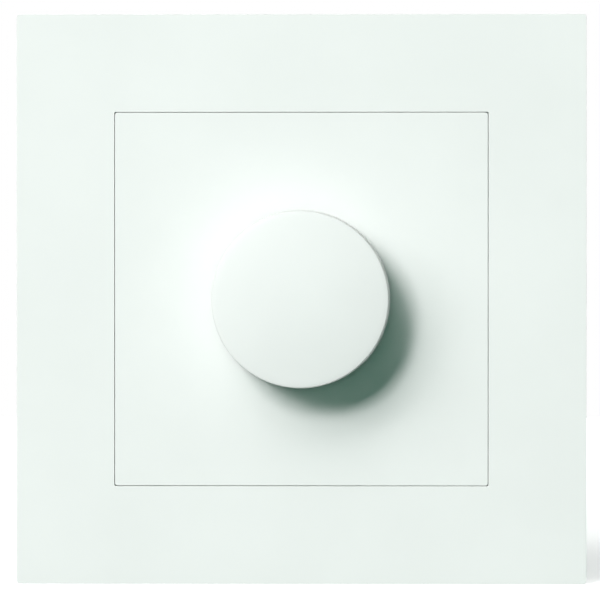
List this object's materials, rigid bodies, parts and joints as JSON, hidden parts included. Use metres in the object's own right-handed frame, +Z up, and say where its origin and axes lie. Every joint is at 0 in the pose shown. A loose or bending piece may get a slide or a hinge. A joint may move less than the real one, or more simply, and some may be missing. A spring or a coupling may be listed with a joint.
{
  "type": "dimmer switch",
  "caption": "Square flush wall dimmer: plain surround frame, centre plate and round push-and-turn knob, on a steel-plated insert with spreading claws and screw terminals.",
  "frame": {"origin": "centre of the two box screw holes, on the back face of the mounting plate, which is the wall's face", "axes": "-Y towards the room, out of the knob; +Y into the wall box; +Z up, +X to the right seen from the room"},
  "size_m": [0.084, 0.047, 0.084],
  "materials": {
    "white_moulding": "satin white moulding",
    "insert_moulding": "matt dark grey moulding",
    "black_moulding": "matt black moulding",
    "zinc_plated_steel": "zinc-plated sheet",
    "screw_steel": "zinc-plated turned steel",
    "spring_steel": "bright spring wire",
    "brass": "plain brass",
    "bronze": "phosphor bronze strip",
    "board_laminate": "pale brown laminate",
    "carbon_film": "printed carbon",
    "ferrite": "sintered ferrite",
    "copper_wire": "enamelled copper",
    "fuse_glass": "clear tube",
    "capacitor_case": "glossy amber case",
    "resistor_lacquer": "beige lacquer",
    "tinned_metal": "tinned metal"
  },
  "bodies": {
    "base": {"surround_frame": "white_moulding", "centre_plate": "white_moulding", "clamping_nut": "brass", "mounting_plate": "zinc_plated_steel", "insert_cover": "insert_moulding", "housing": "insert_moulding", "assembly_screws": "screw_steel", "pot_case": "black_moulding", "track_disc": "board_laminate", "carbon_track": "carbon_film", "pot_pins": "tinned_metal", "switch_case": "black_moulding", "fixed_contacts": "brass", "push_spring": "spring_steel", "circuit_board": "board_laminate", "film_capacitor": "capacitor_case", "choke_core": "ferrite", "choke_winding": "copper_wire", "fuse_tube": "fuse_glass", "fuse_caps": "tinned_metal", "fuse_clips": "tinned_metal", "resistors": "resistor_lacquer", "triac_lead_frame": "tinned_metal", "triac_case": "black_moulding", "triac_rivet": "tinned_metal", "terminal_bars": "brass", "claw_spring_left": "spring_steel", "claw_spring_right": "spring_steel"},
    "push_plunger": {"push_slider": "black_moulding", "contact_bridge": "bronze"},
    "knob": {"knob": "white_moulding", "knob_clip": "bronze", "shaft": "tinned_metal"},
    "wiper": {"wiper_carrier": "black_moulding", "wiper_contact": "bronze"},
    "claw_left": {"claw_left": "zinc_plated_steel"},
    "claw_nut_left": {"claw_nut_left": "screw_steel"},
    "claw_screw_left": {"claw_screw_left": "screw_steel"},
    "claw_right": {"claw_right": "zinc_plated_steel"},
    "claw_nut_right": {"claw_nut_right": "screw_steel"},
    "claw_screw_right": {"claw_screw_right": "screw_steel"},
    "terminal_screw_1": {"terminal_screw_1": "screw_steel"},
    "terminal_cage_1": {"terminal_cage_1": "zinc_plated_steel"},
    "terminal_screw_2": {"terminal_screw_2": "screw_steel"},
    "terminal_cage_2": {"terminal_cage_2": "zinc_plated_steel"},
    "terminal_screw_3": {"terminal_screw_3": "screw_steel"},
    "terminal_cage_3": {"terminal_cage_3": "zinc_plated_steel"}
  },
  "joints": [
    {"name": "knob_push", "type": "slide", "parent": "base", "child": "push_plunger", "axis": [0, 1, 0], "range_m": [0, 0.0015], "stiffness_N_per_m": 2000, "springref_m": -0.001, "deforming": ["push_spring"]},
    {"name": "knob_turn", "type": "hinge", "parent": "push_plunger", "child": "knob", "pos_m": [0, 0, 0], "axis": [0, 1, 0], "range_deg": [0, 270]},
    {"name": "wiper_turn", "type": "hinge", "parent": "base", "child": "wiper", "pos_m": [0, 0, 0], "axis": [0, 1, 0], "range_deg": [0, 270]},
    {"name": "claw_screw_left_turn", "type": "hinge", "parent": "base", "child": "claw_screw_left", "pos_m": [-0.025, 0, 0], "axis": [0, 1, 0], "range_deg": [0, 605]},
    {"name": "claw_nut_left_slide", "type": "slide", "parent": "base", "child": "claw_nut_left", "axis": [0, -1, 0], "range_m": [0, 0.00084]},
    {"name": "claw_left_swing", "type": "hinge", "parent": "base", "child": "claw_left", "pos_m": [-0.0224, 0.0065, 0], "axis": [0, 0, 1], "range_deg": [0, 22], "deforming": ["claw_spring_left"]},
    {"name": "claw_screw_right_turn", "type": "hinge", "parent": "base", "child": "claw_screw_right", "pos_m": [0.025, 0, 0], "axis": [0, 1, 0], "range_deg": [0, 605]},
    {"name": "claw_nut_right_slide", "type": "slide", "parent": "base", "child": "claw_nut_right", "axis": [0, -1, 0], "range_m": [0, 0.00084]},
    {"name": "claw_right_swing", "type": "hinge", "parent": "base", "child": "claw_right", "pos_m": [0.0224, 0.0065, 0], "axis": [0, 0, -1], "range_deg": [0, 22], "deforming": ["claw_spring_right"]},
    {"name": "terminal_screw_1_turn", "type": "hinge", "parent": "base", "child": "terminal_screw_1", "pos_m": [-0.0078, 0.0212, 0], "axis": [0, 0, 1], "range_deg": [0, 2017]},
    {"name": "terminal_cage_1_slide", "type": "slide", "parent": "base", "child": "terminal_cage_1", "axis": [0, 0, -1], "range_m": [0, 0.0028]},
    {"name": "terminal_screw_2_turn", "type": "hinge", "parent": "base", "child": "terminal_screw_2", "pos_m": [0, 0.0212, 0], "axis": [0, 0, 1], "range_deg": [0, 2017]},
    {"name": "terminal_cage_2_slide", "type": "slide", "parent": "base", "child": "terminal_cage_2", "axis": [0, 0, -1], "range_m": [0, 0.0028]},
    {"name": "terminal_screw_3_turn", "type": "hinge", "parent": "base", "child": "terminal_screw_3", "pos_m": [0.0078, 0.0212, 0], "axis": [0, 0, 1], "range_deg": [0, 2017]},
    {"name": "terminal_cage_3_slide", "type": "slide", "parent": "base", "child": "terminal_cage_3", "axis": [0, 0, -1], "range_m": [0, 0.0028]}
  ],
  "couplings": [
    {"joint": "wiper_turn", "follows": "knob_turn", "ratio": 1},
    {"joint": "claw_screw_left_turn", "follows": "claw_nut_left_slide", "rad_per_m": 12566},
    {"joint": "claw_left_swing", "follows": "claw_nut_left_slide", "rad_per_m": 457.11},
    {"joint": "claw_screw_right_turn", "follows": "claw_nut_right_slide", "rad_per_m": 12566},
    {"joint": "claw_right_swing", "follows": "claw_nut_right_slide", "rad_per_m": 457.11},
    {"joint": "terminal_screw_1_turn", "follows": "terminal_cage_1_slide", "rad_per_m": 12566},
    {"joint": "terminal_screw_2_turn", "follows": "terminal_cage_2_slide", "rad_per_m": 12566},
    {"joint": "terminal_screw_3_turn", "follows": "terminal_cage_3_slide", "rad_per_m": 12566}
  ]
}
